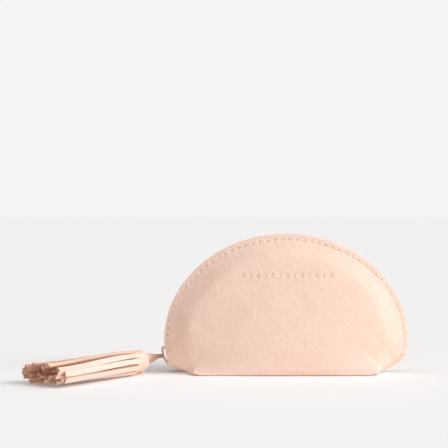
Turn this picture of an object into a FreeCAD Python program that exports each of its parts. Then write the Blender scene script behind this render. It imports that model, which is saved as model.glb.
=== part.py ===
"""Half-moon leather pouch with a zip round its dome and a leather tassel on the slider.

Frame: +X along the pouch, +Y from the front panel to the back panel, +Z up.
Origin: middle of the base, on the surface that the pouch stands on. Millimetres.
"""
import math
import os

import FreeCAD
import Part
from FreeCAD import Placement, Rotation, Vector

OUT = "parts"
DRIVING = {
    # shell
    "dome_half_width": 82.9, "dome_rise": 72.6, "dome_centre_height": 21.4,
    "base_half_length": 61.0, "base_half_depth": 27.0, "leather": 1.8,
    "belly_depth": 27.5, "rim_half_gap": 8.2, "shoulder_half_width": 81.8,
    "fold_height": 14.0, "fold_gap": 0.3, "channel_half_width": 6.5,
    "channel_start": 72.0, "channel_height_left": 2.2, "channel_height_right": 5.5,
    # stitching
    "stitch_inset": 3.4, "stitch_pitch": 5.0, "stitch_length": 3.9, "thread_radius": 0.35,
    # zip
    "zip_radius": 80.4, "zip_centre_height": 10.5, "tape_thickness": 0.6,
    "tape_inner_edge": 2.4, "tape_outer_edge": 6.3, "tape_flange": 7.0, "flange_lean": 2.0,
    "tape_end_slot": 1.3,
    "tooth_pitch": 2.4, "tooth_thick": 1.15, "tooth_height": 2.2,
    "tooth_outer_edge": 2.95, "tooth_inner_edge": 0.45,
    "moving_zip_left": 85.0, "moving_zip_right": 81.2,
    "end_zip_left": 95.6, "end_zip_right": 91.6,
    # slider
    "slider_length": 11.2, "slider_width": 9.0,
    "plate_gap": 1.4, "plate_thick": 1.0, "flange_width": 0.9, "flange_gap": 0.6,
    "post_thick": 0.6, "post_length": 3.4, "corner_cut": 1.2,
    "bridge_radius": 0.65, "bridge_rise": 4.55, "bridge_half_span": 4.6,
    "bridge_bend": 1.9,
    # tassel
    "tassel_turn": 50.0, "lace_thick": 0.9, "lace_width": 3.2, "lace_height": 10.4,
    "loop_radius": 1.35, "bend_distance": 6.4, "loop_length": 8.2,
    "tail_start": 5.0, "tail_thick": 1.1,
    "band_start": 18.5, "band_length": 12.8, "band_radius": 8.1, "band_round": 1.6,
    "fringe_end": 95.0, "fringe_half_width": 21.5, "fringe_half_height": 9.6,
    "fringe_drift": 8.5,
}

doc = FreeCAD.newDocument("zip_pouch")
sheet = doc.addObject("Spreadsheet::Sheet", "sizes")
for row, (alias, value) in enumerate(DRIVING.items(), start=1):
    sheet.set(f"A{row}", alias)
    sheet.set(f"B{row}", str(value))
    sheet.setAlias(f"B{row}", alias)
doc.recompute()


def size(alias):
    """A driving dimension, read from the sheet."""
    return float(sheet.get(alias))


def bind(thing, **expressions):
    """Ties properties of an object to the sheet; a word such as zip_radius means that cell."""
    for prop, expression in expressions.items():
        for alias in sorted(DRIVING, key=len, reverse=True):
            expression = expression.replace(f"<{alias}>", f"sizes.{alias}")
        thing.setExpression(prop.replace("__", "."), expression)
    return thing


def box(name, **expressions):
    """A Part box; Length, Width, Height and Placement__Base__x, y, z are expressions."""
    return bind(doc.addObject("Part::Box", name), **expressions)


def fuse(label, pieces):
    """One sub-part fused from Part objects."""
    made = doc.addObject("Part::MultiFuse", label)
    made.Shapes = pieces
    made.Label = label
    return made


def feature(label, shape, placement=None):
    """A sub-part whose shape is worked out by this file."""
    made = doc.addObject("Part::Feature", label)
    made.Shape = shape
    made.Label = label
    if placement:
        made.Placement = placement
    return made


# ---------------------------------------------------------------- leather shell

# How far each end of the shell reaches at each height: the lower corners curl in under the zip.
END_LEFT = [(0, 61.0), (1.5, 66.0), (3, 71.0), (4.2, 75.5), (6, 78.4), (9, 80.6), (14, 81.8), (16, 82.1)]
END_RIGHT = [(0, 61.0), (2, 64.5), (4, 69.0), (6.3, 74.5), (9, 79.0), (11.5, 80.8), (14, 81.8), (16, 82.1)]
MIRROR = Vector(0, 0, 0), Vector(0, 1, 0)
SIDE_POINTS = 15


def reach_at(table, z):
    """Reads a (height, reach) table, straight between its lines."""
    for (z0, x0), (z1, x1) in zip(table, table[1:]):
        if z <= z1:
            return x0 + (x1 - x0) * (z - z0) / (z1 - z0)
    return table[-1][1]


def belly(x):
    """Half depth of the shell at the fold height, from the rim at the ends to the full middle."""
    rim, full = size("rim_half_gap"), size("belly_depth")
    return rim + (full - rim) * (1 - min(1.0, abs(x) / size("shoulder_half_width")) ** 2.6)


def front_outline(z, inset):
    """Points of the shell's front half at one height, from the left end to the right end."""
    half, depth, shoulder = size("base_half_length"), size("base_half_depth"), size("shoulder_half_width")
    rim = size("rim_half_gap")
    points = []
    for n in range(-SIDE_POINTS, SIDE_POINTS + 1):
        share, side = abs(n) / SIDE_POINTS, -1 if n < 0 else 1
        end = reach_at(END_LEFT if n < 0 else END_RIGHT, z)
        grown = (end - half) / (shoulder - half)
        along = half * min(1.0, share / 0.75)
        base_y = depth if share <= 0.75 else depth - (depth - rim) * (share - 0.75) / 0.25
        wide_x = shoulder * share
        x = along + (wide_x - along) * grown
        y = base_y + (belly(wide_x) - base_y) * grown
        x, y = x * (end - inset) / end, y - inset
        points.append(Vector(side * x, -y, z))
    return points


def outline_wire(z, inset, lift):
    """Closed outline of the shell at one height, raised by lift."""
    front = front_outline(z, inset)
    back = [Vector(p.x, -p.y, p.z) for p in reversed(front)]
    ring = [p + Vector(0, 0, lift) for p in front + back]
    return Part.makePolygon(ring + ring[:1])


def leather_base():
    """Base, low walls and curled-in end corners, open along the top and at the zip's two ends."""
    top, wall = size("fold_height") - size("fold_gap") / 2, size("leather")
    heights = [0, 1.5, 3, 4.2, 6.3, 9, 11.5, top]
    outer = Part.makeLoft([outline_wire(z, 0, 0) for z in heights], True, True)
    inner = Part.makeLoft([outline_wire(z, wall, wall) for z in heights], True, True)
    tray = outer.cut(inner)
    start, wide = size("channel_start"), 2 * size("channel_half_width")
    for side, low in ((-1, size("channel_height_left")), (1, size("channel_height_right"))):
        x = start if side > 0 else -start - 20
        tray = tray.cut(Part.makeBox(20, wide, 20, Vector(x, -wide / 2, low)))
    feature("leather_base", tray)


def rim_points():
    """The dome's edge seen from the front, from the left shoulder over the top to the right one."""
    half, rise = size("dome_half_width"), size("dome_rise")
    centre, low = size("dome_centre_height"), math.radians(2)
    angles = [low + (math.pi - 2 * low) * k / 48 for k in range(49)]
    return [Vector(-half * math.cos(a), 0, centre + rise * math.sin(a)) for a in angles]


def panel_surface():
    """Outer face of the front panel, from just under the fold up to the rim."""
    low, rim = size("fold_height") - 1.5, size("rim_half_gap")
    shoulder = size("shoulder_half_width")
    rows = []
    for edge in rim_points():
        along = edge.x / size("dome_half_width")
        x0, y0 = shoulder * along, belly(shoulder * along)
        row = []
        for k in range(13):
            v = k / 12
            depth = rim + (y0 - rim) * (1 - v ** 1.5)
            row.append(Vector(x0 + (edge.x - x0) * v, -depth, low + (edge.z - low) * v))
        rows.append(row)
    surface = Part.BSplineSurface()
    surface.interpolate(rows)
    return surface


PANEL = panel_surface()


def set_in(surface, thickness, columns, rows):
    """Copy of a surface moved toward +Y along its normals."""
    u0, u1, v0, v1 = surface.bounds()
    grid = []
    for i in range(columns):
        line = []
        for j in range(rows):
            u, v = u0 + (u1 - u0) * i / (columns - 1), v0 + (v1 - v0) * j / (rows - 1)
            normal = surface.normal(u, v)
            if normal.y < 0:
                normal = normal * -1
            line.append(surface.value(u, v) + normal * thickness)
        grid.append(line)
    moved = Part.BSplineSurface()
    moved.interpolate(grid)
    return moved


def leather_panels():
    outer, inner = PANEL, set_in(PANEL, size("leather"), 49, 13)
    edges = []
    for surface in (outer, inner):
        u0, u1, v0, v1 = surface.bounds()
        edges.append([surface.uIso(u0).toShape(), surface.uIso(u1).toShape(),
                      surface.vIso(v0).toShape(), surface.vIso(v1).toShape()])
    faces = [outer.toShape(), inner.toShape()]
    faces += [Part.makeRuledSurface(a, b) for a, b in zip(*edges)]
    shell = Part.makeShell(faces)
    shell.sewShape()
    solid = Part.makeSolid(Part.Shell(shell.Faces))
    if solid.Volume < 0:
        solid.reverse()
    long, low = 4 * size("dome_half_width"), size("fold_height") + size("fold_gap") / 2
    above = Part.makeBox(long, long, long, Vector(-long / 2, -long / 2, low))
    front = solid.common(above)
    feature("leather_front", front)
    feature("leather_back", front.mirror(*MIRROR))


# ---------------------------------------------------------------- stitching

def stitch_row(points):
    """Thread of the top stitching: one short rod for each stitch, half sunk in the leather."""
    rods = []
    for a, b in zip(points, points[1:]):
        along = (b - a).normalize()
        start = a + along * (size("stitch_pitch") - size("stitch_length")) / 2
        rods.append(Part.makeCylinder(size("thread_radius"), size("stitch_length"), start, along))
    return Part.makeCompound(rods)


def on_panel(x, z):
    """Point of the panel's outer face above or below the given x and z."""
    y = -size("rim_half_gap")
    for _ in range(4):
        u, v = PANEL.parameter(Vector(x, y, z))
        y = PANEL.value(u, v).y
    return Vector(x, y, z)


def evenly(points, pitch):
    """Every point of a fine row that is one more pitch along it."""
    chosen, travelled = [points[0]], 0.0
    for a, b in zip(points, points[1:]):
        travelled += a.distanceToPoint(b)
        if travelled >= pitch:
            chosen.append(b)
            travelled -= pitch
    return chosen


def panel_stitching():
    inset, pitch = size("stitch_inset"), size("stitch_pitch")
    half, rise, centre = size("dome_half_width"), size("dome_rise"), size("dome_centre_height")
    low, side = size("fold_height") + 0.9, half - inset - 0.5
    fine = []
    for k in range(1201):
        a = math.pi * k / 1200
        fine.append(Vector(-(half - inset) * math.cos(a), 0, centre + (rise - inset) * math.sin(a)))
    fine = [Vector(-side, 0, low)] + fine + [Vector(side, 0, low)]
    front = stitch_row([on_panel(p.x, p.z) for p in evenly(fine, pitch)])
    feature("stitching_front", front)
    feature("stitching_back", front.mirror(*MIRROR))


def end_stitching():
    """Last stitches of the row, on the end corners that belong to the base."""
    inset, pitch = size("stitch_inset"), size("stitch_pitch")
    for label, side, table in (("stitching_left_end", -1, END_LEFT),
                               ("stitching_right_end", 1, END_RIGHT)):
        places = []
        for z in (size("fold_height") - 0.6, size("fold_height") - 0.6 - pitch):
            x = side * (reach_at(table, z) - inset)
            outline = front_outline(z, 0)
            near = min(zip(outline, outline[1:]), key=lambda s: abs((s[0].x + s[1].x) / 2 - x))
            t = (x - near[0].x) / (near[1].x - near[0].x)
            places.append(near[0] + (near[1] - near[0]) * t)
        row = stitch_row(places)
        feature(label, Part.makeCompound([row, row.mirror(*MIRROR)]))


# ---------------------------------------------------------------- zip

def zip_point(angle, out=0.0, y=0.0):
    """Place on the zip: angle in degrees from the dome's top, positive to the right."""
    a, r = math.radians(angle), size("zip_radius") + out
    return Vector(r * math.sin(a), y, size("zip_centre_height") + r * math.cos(a))


AXIS_DIRECTION = Vector(0, 1, 0)


def arc_solid(profile, start, end):
    """Turns a profile, given as (out, y) pairs at the dome's top, along the zip from start to end."""
    points = [zip_point(0, out, y) for out, y in profile]
    face = Part.Face(Part.makePolygon(points + points[:1]))
    centre = Vector(0, 0, size("zip_centre_height"))
    face.rotate(centre, AXIS_DIRECTION, start)
    return face.revolve(centre, AXIS_DIRECTION, end - start)


def tapes():
    """Woven tape: a strip beside the teeth and a flange that is sewn inside the rim."""
    half = size("tape_thickness") / 2
    inner, outer, drop = size("tape_inner_edge"), size("tape_outer_edge"), size("tape_flange")
    lean = outer + size("flange_lean")
    profile = [(half, -inner), (half, -outer), (-drop, -lean), (-drop, -lean + 2 * half),
               (-half, -outer + 2 * half), (-half, -inner)]
    left, right = size("moving_zip_left"), size("moving_zip_right")
    front = arc_solid(profile, -left, right)
    feature("zipper_tape_front", front)
    feature("zipper_tape_back", front.mirror(*MIRROR))
    slot = size("tape_end_slot") / 2
    for label, start, end in (("tape_end_left", -size("end_zip_left"), -left - 0.3),
                              ("tape_end_right", right + 0.3, size("end_zip_right"))):
        strips = [arc_solid([(half, a), (half, b), (-half, b), (-half, a)], start, end)
                  for a, b in ((-outer, -slot), (slot, outer))]
        feature(label, Part.makeCompound(strips))


def tape_room(start, end, side):
    """The room that the tape takes in whatever is clamped on it; side 0 means both sides."""
    half, inner = size("tape_thickness") / 2 + 0.02, size("tape_inner_edge") - 0.02
    a, b = {-1: (-9.0, -inner), 0: (-9.0, 9.0), 1: (inner, 9.0)}[side]
    return arc_solid([(half, a), (half, b), (-half, b), (-half, a)], start, end)


def tooth(angle, side):
    """One tooth; side is -1 at the front and 1 at the back."""
    inner, outer = size("tooth_inner_edge"), size("tooth_outer_edge")
    high, thick = size("tooth_height"), size("tooth_thick")
    corner = Vector(-thick / 2, inner if side > 0 else -outer,
                    size("zip_centre_height") + size("zip_radius") - high / 2)
    block = Part.makeBox(thick, outer - inner, high, corner)
    block.rotate(Vector(0, 0, size("zip_centre_height")), AXIS_DIRECTION, angle)
    return block


def teeth_row(start, end, side):
    """Angles of one side's teeth from start to end; the two sides are half a pitch apart."""
    step = math.degrees(size("tooth_pitch") / size("zip_radius"))
    first = math.ceil(start / step)
    shift = 0.5 if side > 0 else 0.0
    return [(first + k + shift) * step for k in range(int((end - start) / step))]


def teeth():
    """Metal teeth: each grips the edge of the moving tapes, and lies on both faces of the tape ends."""
    left, right = size("moving_zip_left"), size("moving_zip_right")
    for label, side in (("zipper_teeth_front", -1), ("zipper_teeth_back", 1)):
        room = tape_room(-left - 1, right + 1, side)
        row = [tooth(a, side).cut(room) for a in teeth_row(-left + 0.6, right - 0.6, side)]
        feature(label, Part.makeCompound(row))
    for label, a, b in (("end_teeth_left", -size("end_zip_left") + 2.2, -left - 0.9),
                        ("end_teeth_right", right + 0.9, size("end_zip_right") - 1.9)):
        room = tape_room(a - 3, b + 3, 0)
        solids = []
        for side in (-1, 1):
            for angle in teeth_row(a, b, side):
                solids += tooth(angle, side).cut(room).Solids
        feature(label, Part.makeCompound(solids))


def stops():
    """Stops past the ends of the chain, clamped on the tape ends."""
    high = size("tooth_height") / 2
    left, right = size("end_zip_left"), size("end_zip_right")
    solids = []
    for y in (-2.9, 1.0):
        bar = arc_solid([(high, y), (high, y + 1.9), (-high, y + 1.9), (-high, y)], -left + 0.2, -left + 1.4)
        solids += bar.cut(tape_room(-left - 1, -left + 3, 0)).Solids
    feature("top_stops", Part.makeCompound(solids))
    bar = arc_solid([(high, -3.1), (high, 3.1), (-high, 3.1), (-high, -3.1)], right - 1.3, right - 0.2)
    feature("bottom_stop", Part.makeCompound(bar.cut(tape_room(right - 3, right + 1, 0)).Solids))


# ---------------------------------------------------------------- slider

def slider_body():
    """Two plates joined by a post, with flanges that hold the teeth and let the tape out."""
    low = "<zip_centre_height> - <slider_length> / 2"
    outer_face = "-<zip_radius> - <plate_gap> - <plate_thick>"
    inner_face = "-<zip_radius> + <plate_gap>"
    pieces = []
    for name, face in (("slider_top_plate", outer_face), ("slider_bottom_plate", inner_face)):
        pieces.append(box(name, Length="<plate_thick>", Width="<slider_width>",
                          Height="<slider_length>", Placement__Base__x=face,
                          Placement__Base__y="-<slider_width> / 2", Placement__Base__z=low))
    pieces.append(box("slider_post", Length="2 * <plate_gap> + 0.2", Width="<post_thick>",
                      Height="<post_length>", Placement__Base__x="-<zip_radius> - <plate_gap> - 0.1",
                      Placement__Base__y="-<post_thick> / 2", Placement__Base__z=low))
    for front in (True, False):
        y = "-<slider_width> / 2" if front else "<slider_width> / 2 - <flange_width>"
        for out in (True, False):
            x = "-<zip_radius> - <plate_gap> - 0.1" if out else "-<zip_radius> + <flange_gap>"
            pieces.append(box(f"slider_flange_{len(pieces)}", Width="<flange_width>",
                              Length="<plate_gap> - <flange_gap> + 0.1", Height="<slider_length>",
                              Placement__Base__x=x, Placement__Base__y=y, Placement__Base__z=low))
    raw = fuse("slider_blank", pieces)
    doc.recompute()
    low, high = raw.Shape.BoundBox.ZMin, raw.Shape.BoundBox.ZMax
    numbers = [n for n, e in enumerate(raw.Shape.Edges, start=1)
               if abs(abs(e.CenterOfMass.y) - size("slider_width") / 2) < 0.01
               and min(e.CenterOfMass.z - low, high - e.CenterOfMass.z) < 0.01]
    made = doc.addObject("Part::Chamfer", "slider_body")
    made.Base = raw
    made.Edges = [(n, size("corner_cut"), size("corner_cut")) for n in numbers]
    made.Label = "slider_body"


def slider_bridge():
    """Round wire arched over the top plate, which carries the lace."""
    foot, crest = size("plate_gap") + size("plate_thick"), size("bridge_rise")
    span, bend = size("bridge_half_span"), size("bridge_bend")
    radius, outward, upward = size("bridge_radius"), Vector(-1, 0, 0), Vector(0, 0, 1)

    def at(out, z):
        return Vector(-size("zip_radius") - out, 0, size("zip_centre_height") + z)

    pieces = [Part.makeCylinder(radius, 2 * (span - bend), at(crest, bend - span), upward)]
    for end in (-1, 1):
        pieces.append(Part.makeCylinder(radius, crest - bend - foot, at(foot, end * span), outward))
        disc = Part.Face(Part.Wire(Part.makeCircle(radius, at(crest - bend, end * span), outward)))
        pieces.append(disc.revolve(at(crest - bend, end * (span - bend)), Vector(0, end, 0), -90))
    feature("slider_bridge", pieces[0].fuse(pieces[1:]).removeSplitter())


# ---------------------------------------------------------------- tassel

def along_tassel(s, side=0.0, z=0.0):
    """Point s along the tassel from the bridge's crest; side is to the right seen from there."""
    a = math.radians(size("tassel_turn"))
    x0 = -size("zip_radius") - size("bridge_rise")
    return Vector(x0 - s * math.cos(a) + side * math.sin(a), -s * math.sin(a) - side * math.cos(a), z)


def strip(start, end, side, thick):
    """A flat upright length of lace, from start to end along the tassel."""
    low = size("lace_height") - size("lace_width") / 2
    ring = [along_tassel(start, side - thick / 2, low), along_tassel(end, side - thick / 2, low),
            along_tassel(end, side + thick / 2, low), along_tassel(start, side + thick / 2, low)]
    return Part.Face(Part.makePolygon(ring + ring[:1])).extrude(Vector(0, 0, size("lace_width")))


def tassel_loop():
    """The lace's turn round the bridge, with its two legs."""
    r, half, wide = size("loop_radius"), size("lace_thick") / 2, size("lace_width")
    low, long = size("lace_height") - wide / 2, size("loop_length")
    ring = Part.makeCylinder(r + half, wide, along_tassel(0, 0, low))
    ring = ring.cut(Part.makeCylinder(r - half, wide, along_tassel(0, 0, low)))
    ring = ring.cut(strip(0, 3 * r, 0, 6 * r))
    legs = [strip(0, long, side * r, 2 * half) for side in (-1, 1)]
    feature("tassel_loop", ring.fuse(legs).removeSplitter())


def tassel_tail():
    """The folded rest of the lace, which runs between the legs and into the band."""
    feature("tassel_tail", strip(size("tail_start"), size("band_start"), 0, size("tail_thick")))


TASSEL_TURN = Rotation(Vector(0, 0, 1), size("tassel_turn"))


def tassel_band():
    """Uncut top of the rolled strip that the fringe is cut from."""
    body = doc.addObject("PartDesign::Body", "tassel_band")
    body.Label = "tassel_band"
    plane = next(f for f in body.Origin.OriginFeatures if f.Role == "XZ_Plane")
    sketch = body.newObject("Sketcher::SketchObject", "band_profile")
    sketch.AttachmentSupport = [(plane, "")]
    sketch.MapMode = "FlatFace"
    start, end = -size("band_start"), -size("band_start") - size("band_length")
    r, nose = size("band_radius"), size("band_round")
    points = [(start, 0), (start, r - nose), (start - nose, r), (end, r), (end, 0)]
    for a, b in zip(points, points[1:] + points[:1]):
        sketch.addGeometry(Part.LineSegment(Vector(*a, 0), Vector(*b, 0)), False)
    turn = body.newObject("PartDesign::Revolution", "band_turn")
    turn.Profile = sketch
    turn.ReferenceAxis = (sketch, ["H_Axis"])
    turn.Angle = 360
    doc.recompute()
    body.Placement = Placement(along_tassel(0, 0, size("band_radius")), TASSEL_TURN)


def tassel_fringe():
    """Outer shape of the cut strands, which spread and lie on the surface."""
    first = size("band_start") + size("band_length") + 0.05
    last, wide, high = size("fringe_end"), size("fringe_half_width"), size("fringe_half_height")
    r = size("band_radius") - 0.1
    stations = []
    for k in range(6):
        t = k / 5
        half_y, half_z = r + (wide - r) * t ** 1.2, r + (high - r) * t
        ring = []
        for n in range(24):
            c, s = math.cos(2 * math.pi * n / 24), math.sin(2 * math.pi * n / 24)
            boxy = 1 - 0.45 * t
            y = half_y * math.copysign(abs(c) ** boxy, c) + size("fringe_drift") * t ** 1.3
            z = half_z * math.copysign(abs(s) ** boxy, s) + half_z + 0.05
            ring.append(Vector(-first - (last - first) * t, y, z))
        stations.append(Part.makePolygon(ring + ring[:1]))
    solid = Part.makeLoft(stations, True, True)
    feature("tassel_fringe", solid, Placement(along_tassel(0), TASSEL_TURN))


# ---------------------------------------------------------------- build, check, write

leather_base()
leather_panels()
panel_stitching()
end_stitching()
tapes()
teeth()
stops()
slider_body()
slider_bridge()
tassel_loop()
tassel_tail()
tassel_band()
tassel_fringe()
doc.recompute()

NODES = ["leather_base", "leather_front", "leather_back", "stitching_front", "stitching_back",
         "stitching_left_end", "stitching_right_end", "zipper_tape_front", "zipper_tape_back",
         "tape_end_left", "tape_end_right", "zipper_teeth_front", "zipper_teeth_back",
         "end_teeth_left", "end_teeth_right", "top_stops", "bottom_stop", "slider_body",
         "slider_bridge", "tassel_loop", "tassel_tail", "tassel_band", "tassel_fringe"]

for thing in doc.Objects:
    if {"Invalid", "Error"} & set(thing.State):
        raise RuntimeError(f"{thing.Name} did not recompute: {thing.State}")
by_label = {thing.Label: thing for thing in doc.Objects}
os.makedirs(OUT, exist_ok=True)
for label in NODES:
    shape = by_label[label].Shape
    if shape.isNull() or not shape.isValid() or not shape.Solids:
        raise RuntimeError(f"{label} is not a valid solid")
    corners = shape.tessellate(0.2)[0]
    low = Vector(*(min(c[k] for c in corners) for k in range(3)))
    high = Vector(*(max(c[k] for c in corners) for k in range(3)))
    print(label, "solids", len(shape.Solids), "volume", round(shape.Volume, 1),
          "x", round(low.x, 1), round(high.x, 1), "y", round(low.y, 1), round(high.y, 1),
          "z", round(low.z, 1), round(high.z, 1))
    shape.exportStep(os.path.join(OUT, label + ".step"))
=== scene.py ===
import math
import random

import bmesh
import bpy
import numpy as np
from mathutils import Matrix, Vector, noise
from mathutils.bvhtree import BVHTree


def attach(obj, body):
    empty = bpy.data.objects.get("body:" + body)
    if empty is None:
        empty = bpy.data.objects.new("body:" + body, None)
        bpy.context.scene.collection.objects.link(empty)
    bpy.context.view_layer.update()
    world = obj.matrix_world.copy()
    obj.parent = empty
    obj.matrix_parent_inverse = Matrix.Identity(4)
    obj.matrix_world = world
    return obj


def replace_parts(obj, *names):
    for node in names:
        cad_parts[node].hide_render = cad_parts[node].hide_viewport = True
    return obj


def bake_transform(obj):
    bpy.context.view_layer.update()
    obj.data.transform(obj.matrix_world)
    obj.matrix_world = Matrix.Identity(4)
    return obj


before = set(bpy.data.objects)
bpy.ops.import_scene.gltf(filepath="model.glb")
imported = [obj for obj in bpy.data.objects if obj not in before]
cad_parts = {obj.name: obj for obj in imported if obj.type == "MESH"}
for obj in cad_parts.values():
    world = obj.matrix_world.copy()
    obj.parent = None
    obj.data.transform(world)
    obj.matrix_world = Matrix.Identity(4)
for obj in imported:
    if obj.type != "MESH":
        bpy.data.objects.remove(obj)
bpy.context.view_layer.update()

MM = 0.001

# ---------- sizes, in millimetres
DOME_HALF, DOME_RISE, DOME_CENTRE = 82.9, 72.6, 21.4  # the rim's ellipse: half width, rise and middle
SHOULDER, FOLD_HEIGHT = 81.8, 14.0  # half width and height of the fold between the low wall and the dome
FOOT_LEFT, FOOT_RIGHT = 64.8, 61.4  # reach of the flat base from the middle
BASE_DEPTH, BELLY, FOLD_ROUND = 27.0, 27.5, 2.4  # half depths at the base and the fold, bottom edge's radius
RIM_GAP = 8.2  # from the middle plane to the outer face at the rim
LEATHER = 1.8
STITCH_INSET, LEFT_INSET, RIGHT_INSET, STITCH_PITCH = 3.6, 2.3, 2.9, 5.0
ZIP_RADIUS, ZIP_CENTRE = 78.6, 10.5
ZIP_LEFT, ZIP_RIGHT = 94.3, 88.4  # degrees from the top of the zip's arc to its ends
TOOTH_PITCH = 2.4
# Outline of the curled-in ends: (height, reach from the middle).
END_LEFT = [(0, FOOT_LEFT), (0.5, 67.6), (0.9, 70.4), (1.5, 73.0), (2.6, 76.0), (3.9, 78.2), (6.8, 80.0),
            (10.7, 81.1), (FOLD_HEIGHT, SHOULDER)]
END_RIGHT = [(0, FOOT_RIGHT), (0.7, 65.0), (1.4, 67.4), (2.9, 70.0), (4.5, 72.6), (6.2, 75.4), (7.9, 77.7),
             (10.5, 80.1), (FOLD_HEIGHT, SHOULDER)]
CORNER = 0.75  # share of each half outline that the straight base takes

BRIDGE = Vector((-84.95, 0, 10.5))
TURN = math.radians(50)  # the tassel points this far toward the front from straight left
ALONG = Vector((-math.cos(TURN), -math.sin(TURN), 0))
ASIDE = Vector((math.sin(TURN), -math.cos(TURN), 0))
UP = Vector((0, 0, 1))


def tassel_point(s, side, z):
    """A point given along the tassel, to its camera side, and above the floor."""
    return Vector((BRIDGE.x, BRIDGE.y, 0)) + ALONG * s + ASIDE * side + UP * z


# ---------- materials

class Nodes:
    """Small helper that adds shader nodes and links them."""

    def __init__(self, name):
        self.material = bpy.data.materials.new(name)
        self.material.use_nodes = True
        self.tree = self.material.node_tree
        self.shader = self.tree.nodes["Principled BSDF"]

    def add(self, kind, inputs=None, **settings):
        node = self.tree.nodes.new(kind)
        for key, value in settings.items():
            setattr(node, key, value)
        for key, value in (inputs or {}).items():
            if isinstance(value, bpy.types.NodeSocket):
                self.tree.links.new(value, node.inputs[key])
            else:
                node.inputs[key].default_value = value
        return node

    def set(self, **values):
        for key, value in values.items():
            socket = self.shader.inputs[key.replace("_", " ")]
            if isinstance(value, bpy.types.NodeSocket):
                self.tree.links.new(value, socket)
            else:
                socket.default_value = value

    def math(self, operation, a, b=0.0, c=0.0):
        return self.add("ShaderNodeMath", {0: a, 1: b, 2: c}, operation=operation).outputs[0]

    def share(self, a, part, b):
        """part of a and the rest of b."""
        return self.math("MULTIPLY_ADD", a, part, self.math("MULTIPLY", b, 1 - part))

    def ramp(self, factor, stops):
        node = self.add("ShaderNodeValToRGB", {"Fac": factor})
        ramp = node.color_ramp
        while len(ramp.elements) < len(stops):
            ramp.elements.new(0.5)
        for element, (place, colour) in zip(ramp.elements, stops):
            element.position = place
            element.color = (*colour, 1)
        return node.outputs["Color"]

    def uv(self, scale=(1, 1, 1)):
        coordinate = self.add("ShaderNodeUVMap", uv_map="millimetres")
        return self.add("ShaderNodeMapping", {"Vector": coordinate.outputs["UV"], "Scale": scale}).outputs[0]

    def noise(self, vector, scale, detail=2.0, roughness=0.5, distortion=0.0):
        node = self.add("ShaderNodeTexNoise", {"Vector": vector, "Scale": scale, "Detail": detail,
                                               "Roughness": roughness, "Distortion": distortion})
        return node.outputs["Fac"]

    def bump(self, height, strength, distance):
        """distance is in metres: how high a full step of the height stands."""
        inputs = {"Height": height, "Strength": strength, "Distance": distance}
        return self.add("ShaderNodeBump", inputs).outputs["Normal"]


def srgb(r, g, b):
    """Linear colour from 0-255 display values."""
    return tuple(((v / 255) / 12.92 if v <= 10 else ((v / 255 + 0.055) / 1.055) ** 2.4) for v in (r, g, b))


def grain_leather(name, colour, shade, cell, depth, mottling=1.0):
    """Leather with a pebbled grain: flat irregular pebbles between fine creases, longer across one slant.

    cell is the size of a pebble in millimetres.
    """
    slant, stretch = math.radians(-56), (1.35, 0.85, 1)
    n = Nodes(name)
    place = n.uv()
    wobble = n.add("ShaderNodeTexNoise", {"Vector": place, "Scale": 0.5 / cell, "Detail": 3.0, "Roughness": 0.6})
    moved = n.add("ShaderNodeMix", {"Factor": 0.5 * cell}, data_type="RGBA", blend_type="LINEAR_LIGHT")
    n.tree.links.new(place, moved.inputs[6])
    n.tree.links.new(wobble.outputs["Color"], moved.inputs[7])
    slanted = n.add("ShaderNodeMapping", {"Vector": moved.outputs[2], "Rotation": (0, 0, slant),
                                          "Scale": stretch}, vector_type="TEXTURE").outputs[0]
    pebbles = []
    for scale, clear in ((1 / cell, 0.30), (1.9 / cell, 0.34)):
        cells = n.add("ShaderNodeTexVoronoi", {"Vector": slanted, "Scale": scale}, feature="DISTANCE_TO_EDGE")
        edge = n.add("ShaderNodeMapRange", {"Value": cells.outputs["Distance"], "From Max": clear},
                     interpolation_type="SMOOTHSTEP")
        pebbles.append(edge.outputs["Result"])
    fine = n.noise(place, 4.0, 2.0, 0.6)
    swell = n.noise(place, 0.30, 3.0, 0.55)
    presence = n.add("ShaderNodeMapRange", {"Value": n.noise(place, 0.12, 2.0), "From Min": 0.3, "From Max": 0.7,
                                            "To Min": 0.55, "To Max": 1.0}).outputs["Result"]
    height = n.math("MULTIPLY_ADD", pebbles[1], 0.35, pebbles[0])
    height = n.math("MULTIPLY", height, presence)
    height = n.math("MULTIPLY_ADD", fine, 0.25, height)
    height = n.math("MULTIPLY_ADD", swell, 1.6, height)
    slow = n.noise(place, 0.035, 3.0, 0.55)
    patch = n.noise(place, 0.2, 4.0, 0.6)
    tone = n.math("MULTIPLY_ADD", n.math("SUBTRACT", slow, 0.5), 0.5 * mottling, 0.5)
    tone = n.math("MULTIPLY_ADD", n.math("SUBTRACT", patch, 0.5), 0.25 * mottling, tone)
    # Painted shade: the creases between pebbles are coloured a little darker.
    tone = n.math("MULTIPLY_ADD", n.math("SUBTRACT", pebbles[0], 0.7), 0.16, tone)
    base = n.ramp(tone, [(0.10, shade), (0.55, colour), (0.95, tuple(min(1, c * 1.03) for c in colour))])
    n.set(Base_Color=base)
    n.set(Roughness=n.math("MULTIPLY_ADD", fine, 0.16, 0.44))
    n.set(Specular_IOR_Level=0.3, Sheen_Weight=0.05, Sheen_Roughness=0.45)
    n.shader.inputs["Sheen Tint"].default_value = (*colour, 1)
    n.set(Normal=n.bump(height, depth, 0.00018))
    return n.material


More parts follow.
